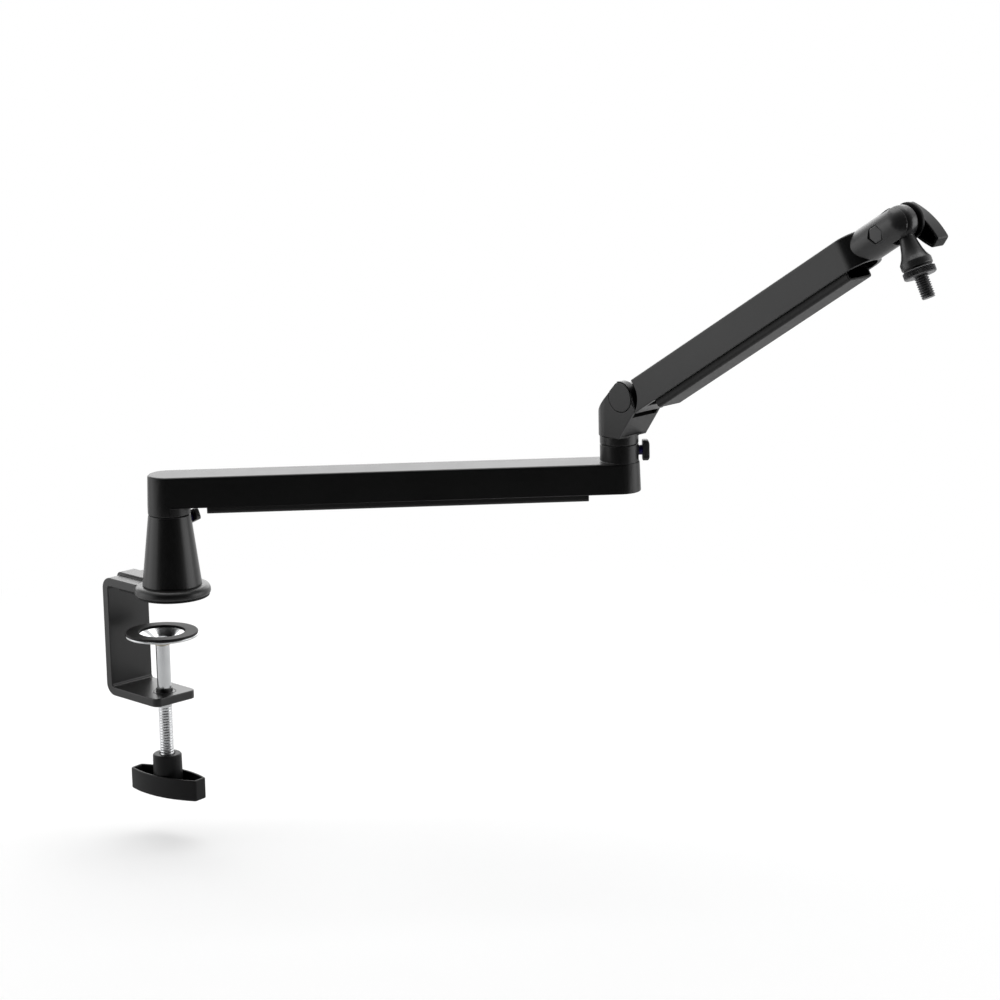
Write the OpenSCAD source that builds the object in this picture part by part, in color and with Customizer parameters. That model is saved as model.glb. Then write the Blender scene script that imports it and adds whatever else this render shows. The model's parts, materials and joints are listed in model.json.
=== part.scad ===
// Low-profile boom arm for a broadcast microphone, with a desk clamp.
// Millimetres. +Z is up and +X runs along the lower arm. The origin lies on the
// base swivel axis, in the plane of the desk top.

/* [Pose at rest] */
// Turn of the clamp about the riser, against the lower arm
clamp_yaw = -49; // [-90:1:90]
// Turn of the elbow bracket about its post
bracket_yaw = -48; // [-90:1:90]
// Rise of the upper arm above level
upper_pitch = 32; // [0:1:80]
// Lean of the neck behind square to the upper arm
neck_lean = 6; // [-10:1:12]
// Turn of the tilt lever below the upper arm's direction
lever_turn = 67; // [0:1:120]

/* [Desk clamp] */
// Thickness of the bent plate
plate_t = 6.2; // [4:0.2:8]
// Width of the bent plate
plate_w = 37; // [30:0.5:50]
// Distance from the riser axis to the inner face of the web
throat = 51.5; // [45:0.5:70]
// Clear height between desk plane and bottom leg
jaw_h = 73.8; // [60:0.2:100]
// Distance from the riser axis back to the end of the bottom leg
leg_short = 0.5; // [0:0.5:10]
// Outer radius of the plate's bends
bend_r = 8.5; // [7.5:0.5:12]
// Radius of the bottom leg's free corners
leg_corner_r = 5; // [3:0.5:12]
// Thickness of the rubber under the top leg
top_pad_t = 1.5; // [1:0.1:3]
// Width of the rib on the top leg
rib_w = 14; // [8:0.5:18]
// Height of the rib on the top leg
rib_h = 2; // [1.6:0.2:5]

/* [Clamp screw] */
// Distance from the riser axis back to the screw axis
screw_back = 14.2; // [12:0.5:18]
// Diameter of the clamp screw
screw_d = 10; // [8:0.5:12]
// Opening between the jaws at rest
jaw_gap = 29; // [20:1:45]
// Diameter of the pressure disc
disc_d = 52.5; // [44:0.5:60]
// Diameter of the opening of the disc's cup
cup_d = 32.5; // [26:0.5:36]
// Depth of the disc's cup
cup_h = 7.2; // [6:0.2:9]
// Thickness of the pressed steel of the disc
disc_t = 1.6; // [1.2:0.1:2]
// Thickness of the rubber ring on the disc
disc_pad_t = 1.6; // [1:0.1:2]
// Distance from the pressing face down to the underside of the T handle
screw_reach = 121.2; // [100:1:140]

/* [T handle] */
// Length of the handle
handle_len = 62.6; // [50:0.2:90]
// Width of the handle at its middle
handle_w = 24.5; // [23:0.5:32]
// Width of the handle's blunt ends
handle_end_w = 11; // [8:0.5:14]
// Height of the handle's wing
handle_h = 15.5; // [12:0.5:20]
// Diameter of the hub
hub_d = 20.8; // [17:0.2:22]
// Height of the hub above the wing
hub_up = 14.6; // [8:0.5:20]
// Wall of the handle's pockets
handle_wall = 2.1; // [1.6:0.1:2.8]
// Turn of the handle at rest, against the clamp
handle_turn = 9; // [0:1:90]

/* [Riser] */
// Diameter of the round head under the riser
head_d = 54.5; // [50:0.5:60]
// Height of the head's top above the desk
head_top = 8.2; // [7.8:0.1:10]
// Diameter of the riser at its foot
riser_foot_d = 42.4; // [40:0.2:46]
// Diameter of the riser at its top
riser_top_d = 30.2; // [29:0.2:34]
// Height of the riser's top above the desk
riser_top = 59.4; // [54:0.2:75]

/* [Arms] */
// Distance between the base axis and the elbow axis
lower_len = 320; // [240:1:420]
// Distance from the elbow hinge to the tip of the upper arm
upper_len = 244.4; // [180:0.1:320]
// Width of both arms at their lower edge
arm_w = 30.4; // [29:0.2:34]
// Height of both arms
arm_h = 22; // [20:0.5:26]
// Draft of the arms' sides in degrees
arm_draft = 1.8; // [0:0.1:3]
// Wall of the arms' sides
arm_wall = 3; // [2.4:0.1:3.6]
// Thickness of the arms' top
arm_roof = 4; // [3:0.2:6]
// Radius of the arms' top edges
arm_edge_r = 1.6; // [0.8:0.2:3]
// Height of the boss between the riser and the lower arm
boss_h = 6.3; // [4:0.1:9]

/* [Cable covers] */
// Depth of the lower cover below the arm
lower_cover_drop = 5.2; // [4:0.2:8]
// Depth of the upper cover below the arm
upper_cover_drop = 5.4; // [4:0.2:8]
// Height of the covers' sides inside the arm
cover_grip = 6; // [4:0.5:9]
// Wall of the covers
cover_wall = 1.6; // [1.2:0.1:2.2]
// Distance from the base axis to the lower cover
lower_cover_start = 27; // [26:0.5:32]
// Distance from the lower cover's end to the elbow axis
lower_cover_end = 23; // [20:0.5:30]
// Distance from the elbow hinge to the upper cover
upper_cover_start = 27; // [22:0.5:30]
// Distance from the upper cover's end to the tip of the arm
upper_cover_end = 18.5; // [16.5:0.5:24]

/* [Swivels] */
// Diameter of the swivel spigots
spigot_d = 16; // [14:0.5:18]
// Diameter of the bushes that hold the spigots
bush_d = 20; // [19.5:0.5:22]
// Diameter of the elbow post
post_d = 27.6; // [26:0.2:29]
// Height of the elbow post above the lower arm
post_h = 12.3; // [11.5:0.1:18]
// Distance from a swivel joint down to its lock knob
lock_down = 5.4; // [5.4:0.1:7]
// Direction of the base lock knob
base_lock_yaw = 42; // [0:1:360]
// Turn of the base knob's wing about its own axis
base_wing_turn = 65; // [0:1:180]

/* [Lock knobs] */
// Length of a knob's wing
wing_len = 14.8; // [13:0.2:17]
// Width of a knob's wing
wing_w = 8.4; // [7:0.2:10]
// Thickness of a knob's wing
wing_t = 5.4; // [4.5:0.1:7]
// Height of the crown on the wing's back
wing_crown = 1.3; // [0.6:0.1:2]
// Diameter of a knob's stem
stem_d = 6; // [5:0.2:7]
// Length of stem that shows between collar and wing
stem_show = 2.6; // [1:0.1:4]
// Diameter of the collar round the stem
collar_d = 8.2; // [7.6:0.1:8.4]

/* [Elbow bracket] */
// Width of the bracket across its ears
bracket_w = 29; // [28:0.2:33]
// Thickness of each ear
ear_t = 6.2; // [5.8:0.1:7]
// Radius of the ears' round tops
ear_r = 11.4; // [10.8:0.1:12.4]
// Distance from the elbow axis forward to the hinge
hinge_out = 14.4; // [12:0.1:20]
// Height of the hinge above the elbow joint
hinge_up = 36.5; // [33:0.5:45]
// Height of the bracket's round foot
foot_h = 6.6; // [5:0.2:9]
// Diameter of the hinge bolt
hinge_bolt_d = 8; // [6:0.5:9]
// Length of the recess in the bracket's front, along its slant
recess_h = 6; // [3:0.2:9]
// Depth of the recess in the bracket's front
recess_deep = 2.2; // [1:0.1:3]
// Diameter of the caps over the hinge bolt
ear_cap_d = 21.2; // [17:0.2:21.4]

/* [Head] */
// Diameter of the barrel
barrel_d = 24.4; // [23:0.2:28]
// Distance from the arm's tip to the tilt axis
tilt_out = 30.4; // [29.5:0.5:40]
// Diameter of the spigot that carries the barrel
head_spigot_d = 10; // [8:0.5:11]
// Diameter of the neck's round eye
eye_d = 22.8; // [21:0.2:23.6]
// Thickness of the neck's round eye
eye_t = 12.6; // [11:0.2:13.6]
// Rounding of the eye's edges
eye_edge = 5; // [1:0.2:5.4]
// Diameter of the bolt through the eye
tilt_bolt_d = 6; // [5:0.5:8]
// Width across flats of the hexagon screw in the barrel
hex_af = 10.6; // [9:0.2:13]

/* [Tilt lever] */
// Diameter of the disc between eye and lever
side_disc_d = 24.8; // [24:0.2:28]
// Thickness of the disc between eye and lever
side_disc_t = 3; // [2:0.1:4]
// Distance from the tilt axis to the lever's long end
lever_len = 23.2; // [20:0.2:27]
// Distance from the tilt axis to the lever's short end
lever_tail = 13; // [9:0.5:16]
// Width of the lever at its middle
lever_w = 14; // [13.6:0.2:18]
// Width of the lever's blunt ends
lever_end_w = 8.2; // [7:0.5:12]
// Depth of the lever along the tilt axis
lever_t = 11.8; // [10:0.1:15]
// Wall of the lever's pocket
lever_wall = 1.8; // [1.4:0.1:2.4]

/* [Neck and stud] */
// Distance from the tilt axis to the underside of the collar
neck_len = 31.4; // [30:0.2:40]
// Diameter of the collar
neck_collar_d = 21.4; // [20:0.2:24]
// Diameter of the lock ring
ring_d = 22.2; // [21:0.2:26]
// Height of the lock ring
ring_h = 5; // [4:0.2:7]
// Diameter of the stud, the outside of a 3/8 inch 16 thread
stud_d = 9.525; // [9.525:0.025:15.875]
// Length of stud that shows below the lock ring
stud_show = 15; // [10:0.5:20]

/* [Hidden] */
// clearances
run_gap = 0.05;       // between a shaft and its bore, on the radius
slip_gap = 0.3;       // between faces that pass each other
snap_gap = 0.15;      // between a cover and its channel
smooth = 96;          // facets of round things that fit
fine = 32;            // facets of small rounds
over = 1;             // how far a cut runs past a face

// heights along the riser
leg_z = top_pad_t;                       // underside of the top leg
web_x = -throat;                         // inner face of the web
rib_corner_r = min(4.5, (plate_t + rib_h) / 2 - 0.1);   // corners at the ends of the rib
boss_z = riser_top + slip_gap;           // underside of the lower arm's boss
arm_z = boss_z + boss_h;                 // underside of the lower arm
arm_top = arm_z + arm_h;
post_top = arm_top + post_h;
elbow_z = post_top + slip_gap;           // underside of the elbow bracket
hinge_z = elbow_z + hinge_up;

// clamp screw
leg_top = -jaw_h;                        // top of the bottom leg
pad_z = -jaw_gap;                        // pressing face
disc_z = pad_z - disc_pad_t;             // top of the steel disc
cup_z = disc_z - cup_h;                  // underside of the cup
washer_t = 1;
shoulder_z = cup_z - washer_t;           // shoulder of the screw under the cup
handle_z = pad_z - screw_reach;          // underside of the handle
hub_top = handle_z + handle_h + hub_up;
neck_r = screw_d / 2 - 1.6;              // reduced end of the screw in the cup
cup_floor_r = neck_r + 3.2;
bush_boss_r = screw_d / 2 + 1;
bush_body_r = screw_d / 2 + 3;
bush_rise = 3;

// riser and swivels
spigot_r = spigot_d / 2;
bush_r = bush_d / 2;
bush_flange_r = bush_r + 2.4;
bush_flange_t = 1.4;
bush_len = 24;
spigot_down = bush_len + 0.2;            // spigot below its joint
keeper_r = bush_r + 1.2;                 // washer that holds a spigot up
keeper_t = 1.8;
keeper_bolt_d = 6;
keeper_head_d = 10;
keeper_head_h = 3.6;
base_lock_z = riser_top - lock_down;
elbow_lock_z = post_top - lock_down;
riser_taper = (riser_foot_d - riser_top_d) / 2 / (riser_top - head_top);
riser_lock_r = riser_top_d / 2 + riser_taper * lock_down;
riser_bore_r = keeper_r + 0.8;
riser_bolt_d = 4;
riser_bolt_ring = (riser_bore_r + riser_foot_d / 2) / 2 - 0.6;
riser_bolt_up = 12;
insert_proud = 0.4;                      // collar beyond the round it sits in

// arms
half_low = arm_w / 2;                    // half width at the lower edge
half_top = half_low - arm_h * tan(arm_draft);
channel_half = half_low - arm_wall;
cover_half = channel_half - snap_gap;
channel_start = 19.5;                    // first end of the lower channel
channel_h = arm_h - arm_roof;

// elbow bracket and upper arm
ear_in = bracket_w / 2 - ear_t;          // inner face of an ear
recess_half = bracket_w / 2 - 2.5;
recess_down = 2.6;                       // recess below the front's upper edge
knuckle_gap = 1;                         // friction washer on each side
knuckle_half = ear_in - knuckle_gap;
slant_in = 1.9;                          // slant of the back inside the ears' round
knuckle_r = ear_r - slant_in - slip_gap;
fork_seat_r = knuckle_r + 0.5;           // hollow for the knuckle between the ears
fork_seat_low = 7.1;                     // front of the fork below the hinge
clear_r = ear_r + 5.2;                    // cut in the arm round the ears
front_r = clear_r - 0.4;                 // reach of the ears' front corner
back_r = bracket_w / 2;
front_low_x = hinge_out - 0.4;
upper_top = 6.4;                         // arm's top above the hinge
upper_low = upper_top - arm_h;
upper_round = upper_len - half_low;      // centre of the round tip
barrel_z = (upper_top + upper_low) / 2;

// head
barrel_r = barrel_d / 2;
ear_face = -eye_t / 2 - 0.1;             // inner face of the barrel's ear
tilt_x = upper_len + tilt_out;
seat_r = eye_d / 2 + 1.2;
barrel_seat = 0.1;                       // gap between the arm's round tip and the barrel
disc_y = eye_t / 2 + 0.1;
lever_y = max(disc_y + side_disc_t + 0.3, ring_d / 2 + slip_gap);
barrel_flat = lever_y - slip_gap;         // flat on the barrel under the lever
neck_back = 3.5;                          // how far the neck leans back from rest
neck_slot = 6.3;                          // barrel cut back behind the neck's axis
hex_back = 14.5;                          // hexagon screw behind the tilt axis
ring_washer_t = 0.8;
ring_up = neck_len + ring_washer_t + 0.1; // lock ring's upper face below the tilt axis
stud_end = ring_up + ring_h + stud_show;
stud_r = stud_d / 2;
stud_root_r = stud_r - 0.8;              // end of the stud that is pressed into the neck
stud_relief = 0.3;                      // how much thinner the stud is inside the ring
stud_free = ring_up + ring_h + 0.3;      // where the stud's full size starts below the ring
hex_wall = 1.2;                          // metal between the hexagon's pocket and the ear face

// places
module at_clamp() { rotate([0, 0, clamp_yaw]) children(); }
module at_screw() { at_clamp() translate([-screw_back, 0, 0]) children(); }
module at_handle() { at_screw() rotate([0, 0, handle_turn]) translate([0, 0, handle_z]) children(); }
module at_base_lock() {
  translate([0, 0, base_lock_z]) rotate([0, 0, base_lock_yaw]) children();
}
module at_elbow() { translate([lower_len, 0, 0]) children(); }
module at_elbow_lock() { translate([lower_len, 0, elbow_lock_z]) children(); }
module at_bracket() {
  translate([lower_len, 0, elbow_z]) rotate([0, 0, bracket_yaw]) children();
}
module at_upper() {
  at_bracket() translate([hinge_out, 0, hinge_up]) rotate([0, -upper_pitch, 0]) children();
}
module at_head() { at_upper() translate([tilt_x, 0, barrel_z]) children(); }
module at_neck() { at_head() rotate([0, neck_lean, 0]) children(); }
module at_lever() { at_head() rotate([0, lever_turn, 0]) children(); }

// a cylinder along Y between two stations
module y_cylinder(y0, y1, r) {
  translate([0, y0, 0]) rotate([-90, 0, 0]) cylinder(h = y1 - y0, r = r, $fn = smooth);
}

// a cylinder along X between two stations
module x_cylinder(x0, x1, r) {
  translate([x0, 0, 0]) rotate([0, 90, 0]) cylinder(h = x1 - x0, r = r, $fn = smooth);
}

// a cylinder along Z between two stations
module z_cylinder(z0, z1, r) {
  translate([0, 0, z0]) cylinder(h = z1 - z0, r = r, $fn = smooth);
}

module ring(z0, z1, r_out, r_in) {
  difference() {
    z_cylinder(z0, z1, r_out);
    z_cylinder(z0 - over, z1 + over, r_in);
  }
}

// a box between two corners
module span(low, high) { translate(low) cube(high - low); }

// a rectangle between two corners with round corners
module round_rect(low, high, r) {
  translate([low[0] + r, low[1]]) square([high[0] - low[0] - 2 * r, high[1] - low[1]]);
  translate([low[0], low[1] + r]) square([high[0] - low[0], high[1] - low[1] - 2 * r]);
  for (x = [low[0] + r, high[0] - r])
    for (y = [low[1] + r, high[1] - r])
      translate([x, y]) circle(r, $fn = fine);
}

// a flat outline in X and Z, given its thickness along Y
module side_extrude(y0, y1) {
  translate([0, y1, 0]) rotate([90, 0, 0]) linear_extrude(y1 - y0) children();
}

// points of an arc
function arc(c, r, a0, a1, n = 8) =
  [for (i = [0:n]) c + r * [cos(a0 + (a1 - a0) * i / n), sin(a0 + (a1 - a0) * i / n)]];

// desk clamp

module bracket_side() {
  reach = web_x - plate_t;
  difference() {
    round_rect([reach, leg_top - plate_t], [throat, leg_z + plate_t], bend_r);
    round_rect([web_x, leg_top], [throat + plate_t, leg_z], bend_r - plate_t);
    translate([0, leg_z - over]) square([throat * 2, plate_t * 2]);
    translate([-leg_short, leg_top - plate_t - over]) square([throat * 2, plate_t * 2]);
  }
}

module bracket_plan() {
  reach = web_x - plate_t;
  difference() {
    translate([reach, -plate_w / 2]) square([-reach, plate_w]);
    translate([-leg_short, 0]) for (s = [-1, 1]) scale([1, s])
      translate([-leg_corner_r, plate_w / 2 - leg_corner_r])
        difference() {
          square(leg_corner_r * 2);
          circle(leg_corner_r, $fn = smooth);
          translate([-leg_corner_r, -leg_corner_r]) square([leg_corner_r, leg_corner_r * 3]);
        }
  }
}

module head_profile() {
  r = head_d / 2;
  edge = 4.2;
  polygon(concat(
    [[0, leg_z], [r - 0.8, leg_z], [r, leg_z + 0.8]],
    arc([r - edge, head_top - edge], edge, 0, 90),
    [[0, head_top]]));
}

module clamp_bracket() {
  reach = web_x - plate_t;
  color("#2b2c2e") at_clamp() difference() {
    union() {
      intersection() {
        side_extrude(-plate_w / 2, plate_w / 2) bracket_side();
        union() {
          translate([0, 0, leg_top - plate_t - over])
            linear_extrude(jaw_h + plate_t + over * 2 - 8) bracket_plan();
          translate([reach - over, -plate_w, -12]) cube([throat + plate_t + over, plate_w * 2, 40]);
        }
      }
      rotate_extrude($fn = smooth) head_profile();
      side_extrude(-rib_w / 2, rib_w / 2)
        difference() {
          round_rect([reach + 2.5, leg_z], [0, leg_z + plate_t + rib_h], rib_corner_r);
          translate([reach, 0]) square([plate_t, leg_z + plate_t - 2.5]);
        }
    }
    z_cylinder(head_top, head_top + rib_h * 3, riser_foot_d / 2 + slip_gap);
    for (a = [60:120:300]) rotate([0, 0, a]) translate([riser_bolt_ring, 0, 0]) {
      z_cylinder(leg_z - over, head_top + over, riser_bolt_d / 2 + 0.2);
      z_cylinder(leg_z - over, leg_z + 2.6, riser_bolt_d + 0.3);
    }
    translate([-screw_back, 0, 0]) z_cylinder(leg_top - plate_t - over, leg_top + over, bush_body_r);
  }
}

module top_jaw_pad() {
  r = head_d / 2 - 0.9;
  color("#131314") at_clamp() union() {
    z_cylinder(0, top_pad_t, r);
    span([web_x + 12, -plate_w / 2 + 0.4, 0], [0, plate_w / 2 - 0.4, top_pad_t]);
  }
}

module screw_bush() {
  color("#3a3a3c") at_screw() difference() {
    union() {
      z_cylinder(leg_top - plate_t, leg_top, bush_body_r);
      z_cylinder(leg_top - 0.5, leg_top + bush_rise, bush_boss_r);
    }
    z_cylinder(leg_top - plate_t - over, leg_top + bush_rise + over, screw_d / 2 + run_gap);
  }
}

module clamp_screw() {
  color("#c9cbcc") at_screw() union() {
    z_cylinder(hub_top - 16, shoulder_z, screw_d / 2);
    z_cylinder(shoulder_z - over, cup_z + disc_t + 0.4, neck_r);
  }
}

// riveted over the end of the screw inside the cup
module screw_end_cap() {
  color("#55575a") at_screw()
    translate([0, 0, cup_z + disc_t + 0.4]) rotate_extrude($fn = smooth)
      polygon([[0, 0], [neck_r + 1.8, 0], [neck_r + 1.8, 1], [neck_r + 0.6, 2], [0, 2.4]]);
}

module thrust_washer() {
  color("#e6e2d6") at_screw() ring(shoulder_z + 0.05, cup_z - 0.05, neck_r + 2.2, neck_r + run_gap);
}

module pressure_disc() {
  r = disc_d / 2;
  lip = cup_d / 2;
  color("#b9bbbd") at_screw() translate([0, 0, cup_z]) rotate_extrude($fn = smooth)
    polygon([
      [neck_r + 0.6, 0], [cup_floor_r, 0], [lip + 0.6, cup_h - disc_t - 0.6],
      [lip + 1.6, cup_h - disc_t], [r - 0.4, cup_h - disc_t], [r, cup_h - disc_t + 0.4],
      [r, cup_h - 0.3], [r - 0.3, cup_h], [lip, cup_h], [lip - 1.2, cup_h - 0.7],
      [cup_floor_r - 0.6, disc_t], [neck_r + 0.6, disc_t]
    ]);
}

module disc_pad() {
  color("#161617") at_screw() ring(disc_z, pad_z, disc_d / 2 - 0.4, cup_d / 2 + 0.2);
}

// T handle: bowed sides, blunt ends, pockets open towards the hub

module boat(len, width, end_w, inset) {
  bow = (width - end_w) / 2;
  r = (len * len / 4 + bow * bow) / (2 * bow);
  intersection() {
    translate([0, width / 2 - r]) circle(r - inset, $fn = 180);
    translate([0, r - width / 2]) circle(r - inset, $fn = 180);
    square([len - inset * 2, width], center = true);
  }
}

module clamp_handle() {
  floor_t = 3;
  color("#242526") at_handle() difference() {
    union() {
      difference() {
        linear_extrude(handle_h) boat(handle_len, handle_w, handle_end_w, 0);
        translate([0, 0, floor_t]) linear_extrude(handle_h)
          boat(handle_len, handle_w, handle_end_w, handle_wall);
      }
      translate([0, 0, floor_t - 0.5])
        cylinder(h = handle_h + hub_up - floor_t + 0.5, r1 = hub_d / 2 + 0.3, r2 = hub_d / 2, $fn = smooth);
    }
    z_cylinder(handle_h + hub_up - 16, handle_h + hub_up + over, screw_d / 2);
  }
}

// riser

module riser_cone() {
  color("#303133") difference() {
    translate([0, 0, head_top]) rotate_extrude($fn = smooth) polygon([
      [0, 0], [riser_foot_d / 2, 0], [riser_top_d / 2, riser_top - head_top - 0.4],
      [riser_top_d / 2 - 0.4, riser_top - head_top], [0, riser_top - head_top]
    ]);
    z_cylinder(head_top - over, riser_top - bush_len, riser_bore_r);
    z_cylinder(head_top, riser_top + over, bush_r);
    z_cylinder(riser_top - bush_flange_t + slip_gap, riser_top + over, bush_flange_r);
    at_clamp() for (a = [60:120:300]) rotate([0, 0, a]) translate([riser_bolt_ring, 0, 0])
      z_cylinder(head_top - over, head_top + riser_bolt_up, riser_bolt_d / 2);
    at_base_lock() {
      x_cylinder(0, riser_lock_r * 2, stem_d / 2 + 0.6);
      x_cylinder(bush_r + 1.6, riser_lock_r * 2, collar_d / 2);
    }
  }
}

module riser_bolts() {
  color("#8e9194") at_clamp() for (a = [60:120:300]) rotate([0, 0, a])
    translate([riser_bolt_ring, 0, 0]) {
      z_cylinder(leg_z + 0.2, leg_z + 2.6, riser_bolt_d - 0.2);
      z_cylinder(leg_z + 2, head_top + riser_bolt_up - 1, riser_bolt_d / 2);
    }
}

// a flanged bush with a hole for the brake plug, its joint at z = 0
module flanged_bush(lock_yaw) {
  difference() {
    union() {
      z_cylinder(-bush_len, 0, bush_r);
      z_cylinder(-bush_flange_t + slip_gap, slip_gap, bush_flange_r);
    }
    z_cylinder(-bush_len - over, over, spigot_r + run_gap);
    translate([0, 0, -lock_down]) rotate([0, 0, lock_yaw]) x_cylinder(0, bush_r * 2, stem_d / 2 + 0.3);
  }
}

module base_bush() {
  color("#d8cfb4") translate([0, 0, riser_top]) flanged_bush(base_lock_yaw);
}

// lock knob, with its axis along X from the swivel axis; face_r is the radius it sits in
module lock_collar(face_r) {
  difference() {
    x_cylinder(bush_r + 1.6, face_r + insert_proud, collar_d / 2);
    x_cylinder(0, face_r * 2, stem_d / 2 + run_gap);
  }
}

module brake_plug() { x_cylinder(spigot_r + 0.3, bush_r + 1.2, stem_d / 2 - 0.05); }

module lock_knob(face_r) {
  wing_x = face_r + insert_proud + stem_show;
  crown_r = (wing_len * wing_len / 4 + wing_crown * wing_crown) / (2 * wing_crown);
  x_cylinder(bush_r + 1.2, wing_x + over, stem_d / 2);
  intersection() {
    translate([wing_x, 0, 0]) rotate([0, 90, 0]) linear_extrude(wing_t)
      round_rect([-wing_len / 2, -wing_w / 2], [wing_len / 2, wing_w / 2], wing_w / 2 - 0.6);
    translate([wing_x + wing_t - crown_r, 0, 0]) y_cylinder(-wing_w, wing_w, crown_r);
  }
}

module base_lock_collar() { color("#1c1c1e") at_base_lock() lock_collar(riser_lock_r); }
module base_brake_plug() { color("#d8cfb4") at_base_lock() brake_plug(); }
module base_lock_knob() {
  color("#161622") at_base_lock() rotate([base_wing_turn, 0, 0]) lock_knob(riser_lock_r);
}

// lower arm

// half of the arm's section, from its axis outwards, with its lower edge at z = 0
module arm_half(shrink, roof) {
  top_half = half_top - shrink;
  low_half = half_low - shrink;
  edge = max(arm_edge_r - shrink, 0.4);
  polygon(concat(
    [[0, 0], [low_half, 0]],
    arc([top_half - edge, roof - edge], edge, 0, 90, 6),
    [[0, roof]]));
}

// the arm's solid, round at both ends or only at the far one
module arm_solid(x0, x1, shrink, roof) {
  translate([x0, 0, 0]) rotate([90, 0, 90]) linear_extrude(x1 - x0) {
    arm_half(shrink, roof);
    mirror([1, 0]) arm_half(shrink, roof);
  }
  translate([x1, 0, 0]) rotate_extrude($fn = smooth) arm_half(shrink, roof);
}

module lower_arm() {
  recess_top = post_top - bush_len;
  color("#1b1b1d") difference() {
    union() {
      translate([0, 0, arm_z]) {
        arm_solid(0, lower_len, 0, arm_h);
        rotate_extrude($fn = smooth) arm_half(0, arm_h);
      }
      z_cylinder(boss_z, arm_z, half_low);
      z_cylinder(arm_z - over, arm_z + over, half_low - 1);
      at_elbow() z_cylinder(arm_top - arm_edge_r * 2, post_top, post_d / 2);
    }
    translate([channel_start, -channel_half, arm_z - over])
      cube([lower_len - channel_start - lower_cover_end + 1.5, channel_half * 2, channel_h + over]);
    z_cylinder(boss_z - over, arm_top - arm_roof, spigot_r);
    at_elbow() {
      z_cylinder(arm_z - over, recess_top, riser_bore_r);
      z_cylinder(arm_z, post_top + over, bush_r);
      z_cylinder(post_top - bush_flange_t + slip_gap, post_top + over, bush_flange_r);
    }
    at_elbow_lock() {
      x_cylinder(0, post_d, stem_d / 2 + 0.6);
      x_cylinder(bush_r + 1.6, post_d, collar_d / 2);
    }
  }
}

module base_spigot() {
  color("#a9abad") difference() {
    z_cylinder(riser_top - spigot_down, arm_top - arm_roof - 0.2, spigot_r);
    z_cylinder(riser_top - spigot_down - over, riser_top - spigot_down + 14, keeper_bolt_d / 2);
  }
}

module keeper_washer() {
  ring(-spigot_down - keeper_t, -spigot_down, keeper_r, keeper_bolt_d / 2 + 0.2);
}

module keeper_bolt() {
  low = -spigot_down - keeper_t;
  difference() {
    union() {
      z_cylinder(low - 0.5, low + 15, keeper_bolt_d / 2);
      z_cylinder(low - keeper_head_h, low, keeper_head_d / 2);
    }
    translate([0, 0, low - keeper_head_h - over]) cylinder(h = 2.4 + over, r = 2.9, $fn = 6);
  }
}

module base_keeper_washer() { color("#8e9194") translate([0, 0, riser_top]) keeper_washer(); }
module base_keeper_bolt() { color("#8e9194") translate([0, 0, riser_top]) keeper_bolt(); }

// a tray that snaps into an arm's channel, open at both ends, its rim at z = grip
module cable_cover(len, drop) {
  r = 2.2;
  difference() {
    rotate([90, 0, 90]) linear_extrude(len) difference() {
      round_rect([-cover_half, -drop], [cover_half, cover_grip + r * 2], r);
      round_rect([cover_wall - cover_half, cover_wall - drop],
        [cover_half - cover_wall, cover_grip + r * 3], r - 1);
      translate([-cover_half - over, cover_grip]) square([cover_half * 2 + over * 2, r * 4]);
    }
  }
}

module lower_cable_cover() {
  color("#222224") translate([lower_cover_start, 0, arm_z])
    cable_cover(lower_len - lower_cover_start - lower_cover_end, lower_cover_drop);
}

module elbow_bush() {
  color("#d8cfb4") at_elbow() translate([0, 0, post_top]) flanged_bush(0);
}

module elbow_lock_collar() { color("#1c1c1e") at_elbow_lock() lock_collar(post_d / 2); }
module elbow_brake_plug() { color("#d8cfb4") at_elbow_lock() brake_plug(); }
module elbow_lock_knob() { color("#161622") at_elbow_lock() lock_knob(post_d / 2); }

// elbow bracket; its own frame has the joint at z = 0 and the hinge ahead of it

// where the line from p touches the circle of radius r round c, on the side s
function touch(p, c, r, s) =
  let (v = p - c, d = norm(v), a = atan2(v[1], v[0]) + s * acos(r / d)) c + r * [cos(a), sin(a)];

bracket_hinge = [hinge_out, hinge_up];
bracket_back = [-back_r, hinge_up - 17];

// what lies behind the bracket's slanted back
module behind_slant() {
  slope = touch(bracket_back, bracket_hinge, ear_r - slant_in, -1) - bracket_back;
  translate(bracket_back) rotate(atan2(slope[1], slope[0])) square([bracket_w * 2, bracket_w]);
}

module bracket_outline() {
  front_top = bracket_hinge + [sqrt(front_r * front_r - fork_seat_low * fork_seat_low), -fork_seat_low];
  difference() {
    union() {
      polygon([
        [-back_r, foot_h - 0.5], bracket_back,
        touch(bracket_back, bracket_hinge, ear_r - slant_in, -1), bracket_hinge,
        touch(front_top, bracket_hinge, ear_r, 1), front_top,
        [front_low_x, foot_h + 1.4], [post_d / 2 - 1, foot_h - 0.5]
      ]);
      translate(bracket_hinge) circle(ear_r, $fn = smooth);
    }
    behind_slant();
  }
}

// what the knuckle and its arm need between the ears
module fork_room() {
  circle(fork_seat_r, $fn = smooth);
  translate([-fork_seat_r, 0]) square([bracket_w * 2, bracket_w]);
  translate([0, -fork_seat_low]) square([bracket_w * 2, bracket_w]);
}

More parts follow.
